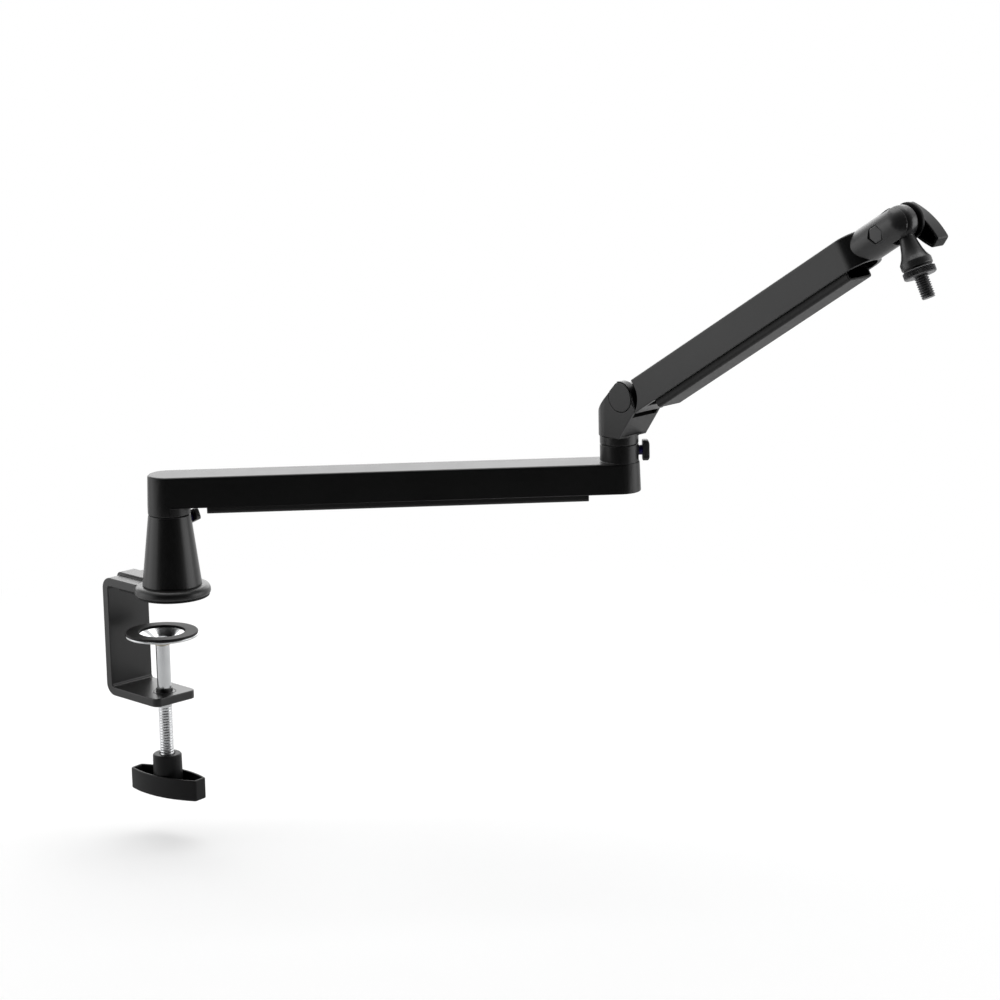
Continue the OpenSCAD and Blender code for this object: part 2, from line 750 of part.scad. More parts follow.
module elbow_bracket() {
  front_dir = [sqrt(front_r * front_r - fork_seat_low * fork_seat_low) + hinge_out - front_low_x,
    hinge_up - fork_seat_low - foot_h - 1.4];
  color("#38393b") at_bracket() difference() {
    union() {
      z_cylinder(0, foot_h + over, post_d / 2);
      intersection() {
        side_extrude(-bracket_w / 2, bracket_w / 2) bracket_outline();
        union() {
          z_cylinder(0, hinge_up * 2, back_r);
          span([0, -bracket_w / 2, 0], [bracket_w * 2, bracket_w / 2, hinge_up * 2]);
        }
      }
    }
    translate([hinge_out, 0, hinge_up]) side_extrude(-ear_in, ear_in) fork_room();
    translate([front_low_x, 0, foot_h + 1.4]) rotate([0, -atan2(front_dir[1], front_dir[0]), 0])
      span([norm(front_dir) - recess_down - recess_h, -recess_half, -recess_deep],
        [norm(front_dir) - recess_down, recess_half, bracket_w]);
    z_cylinder(-over, foot_h + 2, spigot_r);
    translate([hinge_out, 0, hinge_up]) {
      y_cylinder(-bracket_w, bracket_w, hinge_bolt_d / 2);
      for (s = [-1, 1]) scale([1, s, 1]) {
        y_cylinder(bracket_w / 2 - 1.4, bracket_w, ear_cap_d / 2 + 0.1);
        y_cylinder(bracket_w / 2 - 4, bracket_w, hinge_bolt_d / 2 + 2.8);
      }
    }
  }
}

module elbow_spigot() {
  color("#a9abad") at_bracket() translate([0, 0, -slip_gap]) difference() {
    z_cylinder(-spigot_down, foot_h + slip_gap + 1.9, spigot_r);
    z_cylinder(-spigot_down - over, -spigot_down + 14, keeper_bolt_d / 2);
  }
}

module elbow_keeper_washer() { color("#8e9194") at_elbow() translate([0, 0, post_top]) keeper_washer(); }
module elbow_keeper_bolt() { color("#8e9194") at_elbow() translate([0, 0, post_top]) keeper_bolt(); }

module hinge_bolt() {
  half = bracket_w / 2;
  color("#8e9194") at_bracket() translate([hinge_out, 0, hinge_up]) difference() {
    union() {
      y_cylinder(-half + 2, half - 1.8, hinge_bolt_d / 2);
      y_cylinder(-half + 1.6, -half + 4, hinge_bolt_d / 2 + 2.6);
    }
    translate([0, -half + 1.6 - over, 0]) rotate([-90, 0, 0]) cylinder(h = over + 1.6, r = 2.9, $fn = 6);
  }
}

module hinge_nut() {
  half = bracket_w / 2;
  color("#8e9194") at_bracket() translate([hinge_out, 0, hinge_up]) difference() {
    translate([0, half - 4, 0]) rotate([-90, 0, 0]) cylinder(h = 2.4, r = hinge_bolt_d / 2 + 2.6, $fn = 6);
    y_cylinder(half - 5, half, hinge_bolt_d / 2);
  }
}

module ear_caps() {
  half = bracket_w / 2;
  color("#3d3e40") at_bracket() for (s = [-1, 1]) scale([1, s, 1]) difference() {
    translate([hinge_out, half - 1.4, hinge_up]) rotate([-90, 0, 0]) rotate_extrude($fn = smooth)
      polygon([[0, 0], [ear_cap_d / 2, 0], [ear_cap_d / 2, 1.4], [ear_cap_d / 2 - 0.5, 1.8], [0, 1.8]]);
    side_extrude(0, bracket_w) behind_slant();
  }
}

// upper arm; its own frame has the hinge at the origin and the arm along X

module upper_arm() {
  color("#3a3b3d") at_upper() difference() {
    union() {
      difference() {
        translate([0, 0, upper_low]) arm_solid(0, upper_round, 0, arm_h);
        y_cylinder(-arm_w, arm_w, clear_r);
      }
      y_cylinder(-knuckle_half, knuckle_half, knuckle_r);
      span([0, -knuckle_half, -knuckle_r + 1], [clear_r + 3, knuckle_half, upper_top - 1]);
    }
    translate([clear_r + 1.5, -channel_half, upper_low - over])
      cube([upper_len - clear_r - 18.5, channel_half * 2, arm_h - arm_roof - 7 + over]);
    translate([clear_r + 6, -channel_half, upper_low - over])
      cube([upper_round - clear_r - 30, channel_half * 2, channel_h + over]);
    translate([upper_round, 0, upper_low - over]) cylinder(h = 5 + over, r = channel_half, $fn = smooth);
    y_cylinder(-arm_w, arm_w, hinge_bolt_d / 2 + 2);
    translate([0, 0, barrel_z]) x_cylinder(upper_len - 16, upper_len + over, head_spigot_d / 2);
  }
}

module hinge_bush() {
  color("#d8cfb4") at_upper() difference() {
    y_cylinder(-knuckle_half, knuckle_half, hinge_bolt_d / 2 + 2);
    y_cylinder(-bracket_w, bracket_w, hinge_bolt_d / 2 + run_gap);
  }
}

module friction_washers() {
  color("#d8cfb4") at_upper() for (s = [-1, 1]) scale([1, s, 1]) difference() {
    y_cylinder(knuckle_half, ear_in - 0.05, knuckle_r - 1);
    y_cylinder(0, bracket_w, hinge_bolt_d / 2 + run_gap);
  }
}

module upper_cable_cover() {
  len = upper_len - upper_cover_start - upper_cover_end;
  color("#303133") at_upper() translate([upper_cover_start, 0, upper_low])
    cable_cover(len, upper_cover_drop);
}

// pressed into the arm's tip and into the barrel
module head_spigot() {
  color("#a9abad") at_upper() translate([0, 0, barrel_z])
    x_cylinder(upper_len - 15.8, tilt_x - seat_r - 2.5, head_spigot_d / 2);
}

// head; its own frame has the tilt axis along Y at the origin and the arm along X

// what the eye and the neck need beside the barrel's ear
module neck_room() {
  circle(seat_r, $fn = smooth);
  translate([0, -barrel_d]) square([barrel_d * 2, barrel_d * 2]);
  rotate(-neck_lean - neck_back) translate([-neck_slot, -barrel_d * 2])
    square([barrel_d * 2, barrel_d * 2]);
}

module head_barrel() {
  back = -tilt_out - half_low;
  color("#3c3d3f") at_head() difference() {
    union() {
      x_cylinder(back, 0, barrel_r);
      sphere(barrel_r, $fn = smooth);
    }
    translate([back, 0, upper_low - barrel_z - arm_h])
      cylinder(h = arm_h * 3, r1 = half_low + barrel_seat + arm_h * tan(arm_draft),
        r2 = half_low + barrel_seat - arm_h * 2 * tan(arm_draft), $fn = smooth);
    span([back - over, -barrel_d, -barrel_d], [back, barrel_d, barrel_d]);
    side_extrude(ear_face, barrel_d) neck_room();
    span([back - over, barrel_flat, -barrel_d], [barrel_d, barrel_d, barrel_d]);
    x_cylinder(back, -seat_r - 2.3, head_spigot_d / 2);
    y_cylinder(3 - barrel_r, ear_face + over, tilt_bolt_d / 2);
    translate([-hex_back, -barrel_d, 0]) rotate([-90, 0, 0])
      cylinder(h = barrel_d + ear_face - hex_wall, r = hex_af / 2 / cos(30) + 0.2, $fn = 6);
  }
}

module barrel_hex_screw() {
  color("#38393b") at_head() translate([-hex_back, 0, 0])
    translate([0, 1 - barrel_r, 0]) rotate([-90, 0, 0])
      cylinder(h = barrel_r - 1 + ear_face - hex_wall - 0.2, r = hex_af / 2 / cos(30), $fn = 6);
}

module tilt_bolt() {
  color("#8e9194") at_head() y_cylinder(-barrel_r + 3, lever_y + lever_t - 4, tilt_bolt_d / 2);
}

module side_disc() {
  color("#121213") at_head() difference() {
    translate([0, disc_y, 0]) rotate([-90, 0, 0]) rotate_extrude($fn = smooth) polygon([
      [0, 0], [side_disc_d / 2 - 0.6, 0], [side_disc_d / 2, 0.6],
      [side_disc_d / 2, side_disc_t - 0.6], [side_disc_d / 2 - 0.6, side_disc_t], [0, side_disc_t]
    ]);
    y_cylinder(0, barrel_d * 2, tilt_bolt_d / 2 + 0.2);
  }
}

// lever with bowed sides and blunt ends, its pocket open towards the barrel
module lever_outline(inset) {
  translate([(lever_len - lever_tail) / 2, 0])
    boat(lever_len + lever_tail, lever_w, lever_end_w, inset);
}

module tilt_lever() {
  floor_t = 2.4;
  hub_r = tilt_bolt_d / 2 + 3.4;
  near = disc_y + side_disc_t + 0.1;
  far = lever_y + lever_t;
  color("#2a2b2d") at_lever() difference() {
    union() {
      difference() {
        side_extrude(lever_y, far) lever_outline(0);
        side_extrude(lever_y - over, far - floor_t) lever_outline(lever_wall);
      }
      y_cylinder(near, far - over, hub_r);
    }
    y_cylinder(0, far - 3.4, tilt_bolt_d / 2 + run_gap);
  }
}

// neck, hanging along -Z from the tilt axis

module mic_neck() {
  r = neck_collar_d / 2;
  color("#3a3b3d") at_neck() difference() {
    union() {
      rotate([90, 0, 0]) rotate_extrude($fn = smooth) polygon(concat(
        [[0, -eye_t / 2]],
        arc([eye_d / 2 - eye_edge, eye_edge - eye_t / 2], eye_edge, -90, 0, 6),
        arc([eye_d / 2 - eye_edge, eye_t / 2 - eye_edge], eye_edge, 0, 90, 6),
        [[0, eye_t / 2]]));
      rotate_extrude($fn = smooth) polygon([
        [0, -6], [5.2, -6], [5.3, -11], [6.1, -15], [7.3, -20], [8.6, 8 - neck_len],
        [r - 0.5, 5.4 - neck_len], [r, 4.4 - neck_len], [r, 0.8 - neck_len], [r - 0.6, -neck_len],
        [0, -neck_len]
      ]);
    }
    y_cylinder(-eye_t, eye_t, tilt_bolt_d / 2 + run_gap);
    z_cylinder(-neck_len - over, 14 - neck_len, stud_root_r);
  }
}

module ring_washer() {
  color("#17171a") at_neck()
    ring(-neck_len - 0.05 - ring_washer_t, -neck_len - 0.05, neck_collar_d / 2 - 1.2, stud_r + run_gap);
}

module lock_ring() {
  color("#2c2d2f") at_neck() translate([0, 0, -ring_up - ring_h]) difference() {
    rotate_extrude($fn = smooth) polygon([
      [0, 0], [ring_d / 2 - 0.8, 0], [ring_d / 2, 0.8], [ring_d / 2, ring_h - 0.8],
      [ring_d / 2 - 0.8, ring_h], [0, ring_h]
    ]);
    z_cylinder(-over, ring_h + over, stud_r + run_gap);
  }
}

module mic_stud() {
  color("#3e4043") at_neck() union() {
    z_cylinder(-stud_end, -stud_free, stud_r);
    z_cylinder(-stud_free - over, -neck_len, stud_r - stud_relief);
    z_cylinder(-neck_len - over, 13.8 - neck_len, stud_root_r);
  }
}

clamp_bracket();
top_jaw_pad();
screw_bush();
clamp_screw();
screw_end_cap();
clamp_handle();
thrust_washer();
pressure_disc();
disc_pad();
riser_cone();
riser_bolts();
base_bush();
base_lock_collar();
base_brake_plug();
base_lock_knob();
lower_arm();
base_spigot();
base_keeper_washer();
base_keeper_bolt();
lower_cable_cover();
elbow_bush();
elbow_lock_collar();
elbow_brake_plug();
elbow_lock_knob();
elbow_bracket();
elbow_spigot();
elbow_keeper_washer();
elbow_keeper_bolt();
hinge_bolt();
hinge_nut();
ear_caps();
upper_arm();
hinge_bush();
friction_washers();
upper_cable_cover();
head_spigot();
head_barrel();
barrel_hex_screw();
tilt_bolt();
side_disc();
tilt_lever();
mic_neck();
ring_washer();
lock_ring();
mic_stud();
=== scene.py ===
import json
import math
import bmesh
import bpy
from mathutils import Matrix, Vector

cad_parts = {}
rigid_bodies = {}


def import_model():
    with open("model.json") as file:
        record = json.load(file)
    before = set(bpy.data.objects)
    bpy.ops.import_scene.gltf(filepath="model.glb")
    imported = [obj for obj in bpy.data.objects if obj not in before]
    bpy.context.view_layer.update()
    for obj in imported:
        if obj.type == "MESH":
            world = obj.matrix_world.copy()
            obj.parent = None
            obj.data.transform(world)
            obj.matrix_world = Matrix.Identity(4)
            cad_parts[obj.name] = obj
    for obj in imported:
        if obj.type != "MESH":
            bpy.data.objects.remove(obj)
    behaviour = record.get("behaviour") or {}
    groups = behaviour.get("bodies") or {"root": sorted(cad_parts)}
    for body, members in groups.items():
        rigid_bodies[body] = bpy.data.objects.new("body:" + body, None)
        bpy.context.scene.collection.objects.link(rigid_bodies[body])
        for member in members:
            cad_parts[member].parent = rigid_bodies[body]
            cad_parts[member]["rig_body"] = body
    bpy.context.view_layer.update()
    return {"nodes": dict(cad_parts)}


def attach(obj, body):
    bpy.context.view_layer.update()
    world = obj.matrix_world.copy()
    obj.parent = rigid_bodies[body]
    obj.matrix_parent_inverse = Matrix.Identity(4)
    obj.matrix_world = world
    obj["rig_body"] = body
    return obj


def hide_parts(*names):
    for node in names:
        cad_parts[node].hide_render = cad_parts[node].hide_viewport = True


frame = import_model()
print("frame loaded:", len(frame["nodes"]), "nodes")

# camera: where the picture was taken from, in metres
cameraView = {
    "place": (0.10665, -2.2862, 0.5776),
    "ahead": (0.05445, 0.97402, -0.21985),
    "roll": 1.13,
    "lens": 118.8,
}


def makeCamera(view):
    ahead = Vector(view["ahead"]).normalized()
    side = ahead.cross(Vector((0, 0, 1))).normalized()
    rise = side.cross(ahead)
    roll = math.radians(view["roll"])
    right = side * math.cos(roll) - rise * math.sin(roll)
    up = side * math.sin(roll) + rise * math.cos(roll)
    data = bpy.data.cameras.new("camera")
    data.lens = view["lens"]
    data.clip_end = 100
    camera = bpy.data.objects.new("camera", data)
    turn = Matrix((right, up, -ahead)).transposed().to_4x4()
    camera.matrix_world = Matrix.Translation(view["place"]) @ turn
    bpy.context.scene.collection.objects.link(camera)
    bpy.context.scene.camera = camera


makeCamera(cameraView)
bpy.context.scene.view_settings.view_transform = "Standard"
print("camera placed")


# shader node groups
def newGroup(name, inputs, outputs):
    group = bpy.data.node_groups.new(name, "ShaderNodeTree")
    for label, kind, value in inputs:
        socket = group.interface.new_socket(name=label, in_out="INPUT",
                                            socket_type="NodeSocket" + kind)
        socket.default_value = value
    for label, kind in outputs:
        group.interface.new_socket(name=label, in_out="OUTPUT", socket_type="NodeSocket" + kind)
    return group, group.nodes.new("NodeGroupInput"), group.nodes.new("NodeGroupOutput")


def mathNode(tree, operation, first, second):
    node = tree.nodes.new("ShaderNodeMath")
    node.operation = operation
    for socket, value in zip(node.inputs, (first, second)):
        if isinstance(value, (int, float)):
            socket.default_value = value
        else:
            tree.links.new(value, socket)
    return node.outputs[0]


# place in millimetres divided by size
def noiseNode(tree, size, detail):
    place = tree.nodes.new("ShaderNodeTexCoord")
    scaled = tree.nodes.new("ShaderNodeVectorMath")
    scaled.operation = "SCALE"
    tree.links.new(place.outputs["Object"], scaled.inputs[0])
    tree.links.new(mathNode(tree, "DIVIDE", 1000, size), scaled.inputs["Scale"])
    noise = tree.nodes.new("ShaderNodeTexNoise")
    noise.inputs["Scale"].default_value = 1
    noise.inputs["Detail"].default_value = detail
    tree.links.new(scaled.outputs[0], noise.inputs["Vector"])
    return noise.outputs[0]


def mixColour(tree, factor, first, second):
    node = tree.nodes.new("ShaderNodeMix")
    node.data_type = "RGBA"
    tree.links.new(factor, node.inputs[0])
    for socket, value in ((node.inputs[6], first), (node.inputs[7], second)):
        if isinstance(value, tuple):
            socket.default_value = value
        else:
            tree.links.new(value, socket)
    return node.outputs[2]


# the small bumps of a coat or of moulded plastic
def makeFineGrain():
    group, given, out = newGroup("fineGrain", [("Size", "Float", 0.5)], [("Height", "Float")])
    group.links.new(noiseNode(group, given.outputs["Size"], 2), out.inputs["Height"])
    return group


# slow change of tone and gloss over a surface
def makeToneDrift():
    group, given, out = newGroup(
        "toneDrift",
        [("Dark", "Color", (0, 0, 0, 1)), ("Light", "Color", (1, 1, 1, 1)), ("Patch", "Float", 20),
         ("Smoothest", "Float", 0.4), ("Roughest", "Float", 0.5)],
        [("Colour", "Color"), ("Roughness", "Float")])
    drift = noiseNode(group, given.outputs["Patch"], 4)
    colour = mixColour(group, drift, given.outputs["Dark"], given.outputs["Light"])
    group.links.new(colour, out.inputs["Colour"])
    spread = mathNode(group, "SUBTRACT", given.outputs["Roughest"], given.outputs["Smoothest"])
    rough = mathNode(group, "ADD", given.outputs["Smoothest"], mathNode(group, "MULTIPLY", drift, spread))
    group.links.new(rough, out.inputs["Roughness"])
    return group


# rounded edges a little lighter, unevenly: partly edge wear, partly a painted highlight along every rounded
# edge
def makeEdgeWearAndHighlight():
    group, given, out = newGroup(
        "edgeWearAndHighlight",
        [("Colour", "Color", (0, 0, 0, 1)), ("Rubbed", "Color", (1, 1, 1, 1)), ("Amount", "Float", 0.3)],
        [("Colour", "Color")])
    edge = group.nodes.new("ShaderNodeAttribute")
    edge.attribute_name = "roundedEdge"
    uneven = mathNode(group, "MULTIPLY", noiseNode(group, 3, 3), given.outputs["Amount"])
    mask = mathNode(group, "MULTIPLY", edge.outputs["Fac"], uneven)
    colour = mixColour(group, mask, given.outputs["Colour"], given.outputs["Rubbed"])
    group.links.new(colour, out.inputs["Colour"])
    return group


# a trace of dust on faces that look up at rest
def makeSettledDust():
    group, given, out = newGroup(
        "settledDust",
        [("Colour", "Color", (0, 0, 0, 1)), ("Dust", "Color", (0.4, 0.39, 0.37, 1)),
         ("Amount", "Float", 0.05)],
        [("Colour", "Color")])
    place = group.nodes.new("ShaderNodeTexCoord")
    split = group.nodes.new("ShaderNodeSeparateXYZ")
    group.links.new(place.outputs["Normal"], split.inputs[0])
    up = mathNode(group, "MAXIMUM", split.outputs["Z"], 0)
    speckle = mathNode(group, "POWER", noiseNode(group, 1.1, 3), 2)
    mask = mathNode(group, "MULTIPLY", mathNode(group, "MULTIPLY", up, speckle), given.outputs["Amount"])
    colour = mixColour(group, mask, given.outputs["Colour"], given.outputs["Dust"])
    group.links.new(colour, out.inputs["Colour"])
    return group


fineGrain, toneDrift = makeFineGrain(), makeToneDrift()
edgeWearAndHighlight, settledDust = makeEdgeWearAndHighlight(), makeSettledDust()


# finishes: dark and light are the ends of the tone, patch in mm, grain in mm, depth in microns; the edge
# amount and edge colour lighten the rounded edges, partly as wear and partly as a painted highlight
def makeFinish(name, dark, light, smoothest, roughest, patch=25, grain=0.5, depth=3, edgeWearAndHighlightAmount=0.25,
               wornAndLitEdgeColour=(0.12, 0.12, 0.125), dust=0.05, metallic=0, specular=0.5):
    material = bpy.data.materials.new(name)
    material.use_nodes = True
    tree = material.node_tree
    shader = tree.nodes["Principled BSDF"]
    shader.inputs["Metallic"].default_value = metallic
    shader.inputs["Specular IOR Level"].default_value = specular

    def place(group, **values):
        node = tree.nodes.new("ShaderNodeGroup")
        node.node_tree = group
        for label, value in values.items():
            node.inputs[label].default_value = (*value, 1) if isinstance(value, tuple) else value
        return node

    tone = place(toneDrift, Dark=dark, Light=light, Patch=patch, Smoothest=smoothest, Roughest=roughest)
    # the lighter rounded edges: partly wear, partly a painted highlight
    edgeWearAndHighlightNode = place(edgeWearAndHighlight, Rubbed=wornAndLitEdgeColour, Amount=edgeWearAndHighlightAmount)
    dustNode = place(settledDust, Amount=dust)
    grainNode = place(fineGrain, Size=grain)
    bump = tree.nodes.new("ShaderNodeBump")
    bump.inputs["Strength"].default_value = 1
    bump.inputs["Distance"].default_value = depth * 1e-6
    tree.links.new(tone.outputs["Colour"], edgeWearAndHighlightNode.inputs["Colour"])
    tree.links.new(edgeWearAndHighlightNode.outputs["Colour"], dustNode.inputs["Colour"])
    tree.links.new(dustNode.outputs["Colour"], shader.inputs["Base Color"])
    tree.links.new(tone.outputs["Roughness"], shader.inputs["Roughness"])
    tree.links.new(grainNode.outputs["Height"], bump.inputs["Height"])
    tree.links.new(bump.outputs["Normal"], shader.inputs["Normal"])
    return material


satinBlackCoat = makeFinish("satinBlackCoat", (0.0020, 0.0020, 0.0021), (0.0030, 0.0030, 0.0032), 0.33, 0.39,
                            specular=0.40)
charcoalCoat = makeFinish("charcoalCoat", (0.0050, 0.0050, 0.0052), (0.0072, 0.0072, 0.0075), 0.31, 0.37)
coneCoat = makeFinish("coneCoat", (0.002, 0.002, 0.0021), (0.0035, 0.0035, 0.0037), 0.30, 0.36)
softRubber = makeFinish("softRubber", (0.004, 0.004, 0.004), (0.007, 0.007, 0.007), 0.50, 0.62,
                        grain=0.35, depth=8, edgeWearAndHighlightAmount=0.1, dust=0.04, specular=0.25)
blackNylon = makeFinish("blackNylon", (0.006, 0.006, 0.006), (0.009, 0.009, 0.009), 0.45, 0.55, edgeWearAndHighlightAmount=0.15)
handlePlastic = makeFinish("handlePlastic", (0.006, 0.006, 0.0065), (0.009, 0.009, 0.0095), 0.40, 0.48,
                           grain=0.4, depth=6, edgeWearAndHighlightAmount=0.35, specular=0.18)
leverPlastic = makeFinish("leverPlastic", (0.006, 0.006, 0.0063), (0.010, 0.010, 0.0104), 0.42, 0.5,
                          grain=0.4, depth=5, edgeWearAndHighlightAmount=0.3, specular=0.4)
coverPlastic = makeFinish("coverPlastic", (0.006, 0.006, 0.006), (0.009, 0.009, 0.009), 0.42, 0.5,
                          grain=0.4, depth=5, specular=0.32)
knobPlastic = makeFinish("knobPlastic", (0.012, 0.012, 0.013), (0.018, 0.018, 0.020), 0.38, 0.46,
                         grain=0.4, depth=4)
navyStem = makeFinish("navyStem", (0.006, 0.003, 0.075), (0.012, 0.005, 0.11), 0.42, 0.5,
                      edgeWearAndHighlightAmount=0.1, specular=0.25)
paleAcetal = makeFinish("paleAcetal", (0.62, 0.56, 0.43), (0.70, 0.64, 0.50), 0.4, 0.5, edgeWearAndHighlightAmount=0, dust=0.02)
brightZinc = makeFinish("brightZinc", (0.55, 0.56, 0.57), (0.68, 0.69, 0.70), 0.10, 0.18, patch=9,
                        grain=0.6, depth=1.5, edgeWearAndHighlightAmount=0.2, wornAndLitEdgeColour=(0.8, 0.8, 0.81), dust=0.02, metallic=1)
threadZinc = makeFinish("threadZinc", (0.62, 0.63, 0.64), (0.78, 0.79, 0.80), 0.26, 0.36, patch=2.5,
                        grain=0.3, depth=6, edgeWearAndHighlightAmount=0.2, wornAndLitEdgeColour=(0.8, 0.8, 0.81), dust=0.02, metallic=1)
# the head pieces' coat: glossier than the arms' coat, with a base colour several times lighter than the
# charcoal coat as painted light on the head's barrel, hex screw and neck
headCoatPaintedLight = makeFinish("headCoatPaintedLight", (0.034, 0.034, 0.0345), (0.043, 0.043, 0.044), 0.28, 0.34)
plainSteel = makeFinish("plainSteel", (0.34, 0.35, 0.36), (0.46, 0.47, 0.48), 0.26, 0.36, patch=9,
                        depth=3, edgeWearAndHighlightAmount=0.2, wornAndLitEdgeColour=(0.7, 0.7, 0.7), dust=0.02, metallic=1)
blackSteel = makeFinish("blackSteel", (0.10, 0.10, 0.103), (0.15, 0.15, 0.154), 0.32, 0.42, patch=6,
                        depth=3, edgeWearAndHighlightAmount=0.5, wornAndLitEdgeColour=(0.30, 0.30, 0.31), metallic=0.55)
print("finishes made")


# moves and turns in millimetres and degrees
def turnZ(angle): return Matrix.Rotation(math.radians(angle), 4, "Z")
def turnY(angle): return Matrix.Rotation(math.radians(angle), 4, "Y")
def turnX(angle): return Matrix.Rotation(math.radians(angle), 4, "X")
def shift(x, y, z): return Matrix.Translation((x, y, z))


# the pose at rest and the distances to each piece's own place, as in the part's source
restLook = {"clampYaw": -49, "screwBack": 14.2, "handleTurn": 9, "handleDown": 150.2,
            "baseLockUp": 54, "baseLockYaw": 42, "lowerLength": 320, "elbowLockUp": 94.9,
            "bracketUp": 100.6, "bracketYaw": -48, "hingeOut": 14.4, "hingeUp": 36.5, "upperPitch": 32,
            "tiltOut": 274.8, "tiltDrop": 4.6, "neckLean": 6, "leverTurn": 67}
atClamp = turnZ(restLook["clampYaw"])
atScrew = atClamp @ shift(-restLook["screwBack"], 0, 0)
atHandle = atScrew @ turnZ(restLook["handleTurn"]) @ shift(0, 0, -restLook["handleDown"])
atBaseLock = shift(0, 0, restLook["baseLockUp"]) @ turnZ(restLook["baseLockYaw"])
atElbowLock = shift(restLook["lowerLength"], 0, restLook["elbowLockUp"])
atBracket = shift(restLook["lowerLength"], 0, restLook["bracketUp"]) @ turnZ(restLook["bracketYaw"])
atUpper = atBracket @ shift(restLook["hingeOut"], 0, restLook["hingeUp"]) @ turnY(-restLook["upperPitch"])
atHead = atUpper @ shift(restLook["tiltOut"], 0, -restLook["tiltDrop"])
atNeck = atHead @ turnY(restLook["neckLean"])
atLever = atHead @ turnY(restLook["leverTurn"])
shadingAngle = 38  # a sharper edge than this shades as an edge
sharpAngle = 28  # a sharper edge than this is rounded


# turns a finished bmesh, in millimetres, into a piece that rides on its node's body
def placePiece(name, build, at, material, node):
    bmesh.ops.recalc_face_normals(build, faces=build.faces)
    mesh = bpy.data.meshes.new(name)
    build.to_mesh(mesh)
    build.free()
    mesh.transform(Matrix.Diagonal((0.001, 0.001, 0.001, 1)) @ at)
    mesh.shade_smooth()
    mesh.set_sharp_from_angle(angle=math.radians(shadingAngle))
    mesh.materials.append(material)
    piece = bpy.data.objects.new(name, mesh)
    bpy.context.scene.collection.objects.link(piece)
    weighted = piece.modifiers.new("evenNormals", "WEIGHTED_NORMAL")
    weighted.keep_sharp = True
    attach(piece, frame["nodes"][node]["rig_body"])
    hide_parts(node)


# rounds the sharp edges and marks the new faces
def roundEdges(build, edge, segments):
    mark = build.faces.layers.float.new("roundedEdge")
    sharp = [e for e in build.edges
             if len(e.link_faces) == 2 and e.calc_face_angle(0) > math.radians(sharpAngle)]
    made = bmesh.ops.bevel(build, geom=sharp, offset=edge, offset_type="OFFSET", segments=segments,
                           profile=0.5, affect="EDGES", clamp_overlap=False, miter_outer="SHARP")
    for face in made["faces"]:
        face[mark] = 1


# a node's solid, its faces joined where they meet flatter than dissolve, and its edges rounded
def finishedCopy(name, node, material, edge, segments, dissolve=1.2):
    build = bmesh.new()
    build.from_mesh(frame["nodes"][node].data)
    bmesh.ops.scale(build, vec=(1000, 1000, 1000), verts=build.verts)
    bmesh.ops.remove_doubles(build, verts=build.verts, dist=0.002)
    bmesh.ops.dissolve_limit(build, angle_limit=math.radians(dissolve), verts=build.verts,
                             edges=build.edges, delimit=set())
    roundEdges(build, edge, segments)
    placePiece(name, build, Matrix.Identity(4), material, node)


# the point at t on the bend from start to end round a corner
def bentPoint(start, corner, end, t):
    return start * (1 - t) ** 2 + corner * 2 * t * (1 - t) + end * t ** 2


# a line of points with its corners rounded
def filleted(points, radius, steps=4, closed=False):
    count = len(points)
    made = []
    for i, p in enumerate(points):
        p = Vector(p)
        if not closed and i in (0, count - 1):
            made.append(p)
            continue
        before, after = Vector(points[i - 1]) - p, Vector(points[(i + 1) % count]) - p
        cut = min(radius, before.length * 0.45, after.length * 0.45)
        start, end = p + before.normalized() * cut, p + after.normalized() * cut
        made += [bentPoint(start, p, end, k / steps) for k in range(steps + 1)]
    return made


# quads between loops of equal length; a loop of one point closes in a fan
def bridge(build, loops, closed=False):
    rows = [[build.verts.new(p) for p in loop] for loop in loops]
    pairs = list(zip(rows, rows[1:])) + ([(rows[-1], rows[0])] if closed else [])
    for low, high in pairs:
        count = max(len(low), len(high))
        for i in range(count):
            j = (i + 1) % count
            corners = [low[i % len(low)], low[j % len(low)], high[j % len(high)], high[i % len(high)]]
            build.faces.new(dict.fromkeys(corners))
    return rows


def circle(radius, height, steps):
    turns = [math.tau * i / steps for i in range(steps)]
    return [(radius * math.cos(a), radius * math.sin(a), height) for a in turns]


# a profile of (radius, height) turned round Z; on the axis it closes, else it is a ring
def turned(build, profile, steps=96):
    onAxis = profile[0][0] < 1e-6 and profile[-1][0] < 1e-6
    loops = [circle(radius, height, steps) if radius > 1e-6 else [(0, 0, height)]
             for radius, height in profile]
    bridge(build, loops, closed=not onAxis)


# a round bar whose radius is radiusAt(angle, height), with plain ends, bored when bore is set
def wrapped(build, low, high, rows, steps, radiusAt, bore=0):
    def loop(height):
        turns = [math.tau * i / steps for i in range(steps)]
        return [(radiusAt(a, height) * math.cos(a), radiusAt(a, height) * math.sin(a), height) for a in turns]

    loops = [loop(low + (high - low) * k / rows) for k in range(rows + 1)]
    if bore:
        bridge(build, [circle(bore, low, steps)] + loops + [circle(bore, high, steps)], closed=True)
    else:
        bridge(build, [[(0, 0, low)]] + loops + [[(0, 0, high)]])


# the radius of a thread that runs out over the length runOut at both ends
def threadRadius(outside, pitch, depth, low, high, runOut):
    def at(angle, height):
        phase = (height / pitch - angle / math.tau) % 1
        crest = min(max((abs(phase - 0.5) - 0.07) / 0.30, 0), 1)  # 0 in the root, 1 on the crest
        full = max(min((height - low) / runOut, (high - height) / runOut, 1), 0)
        return outside - depth * (1 - crest) * full - (1 - full) * depth * 0.6
    return at


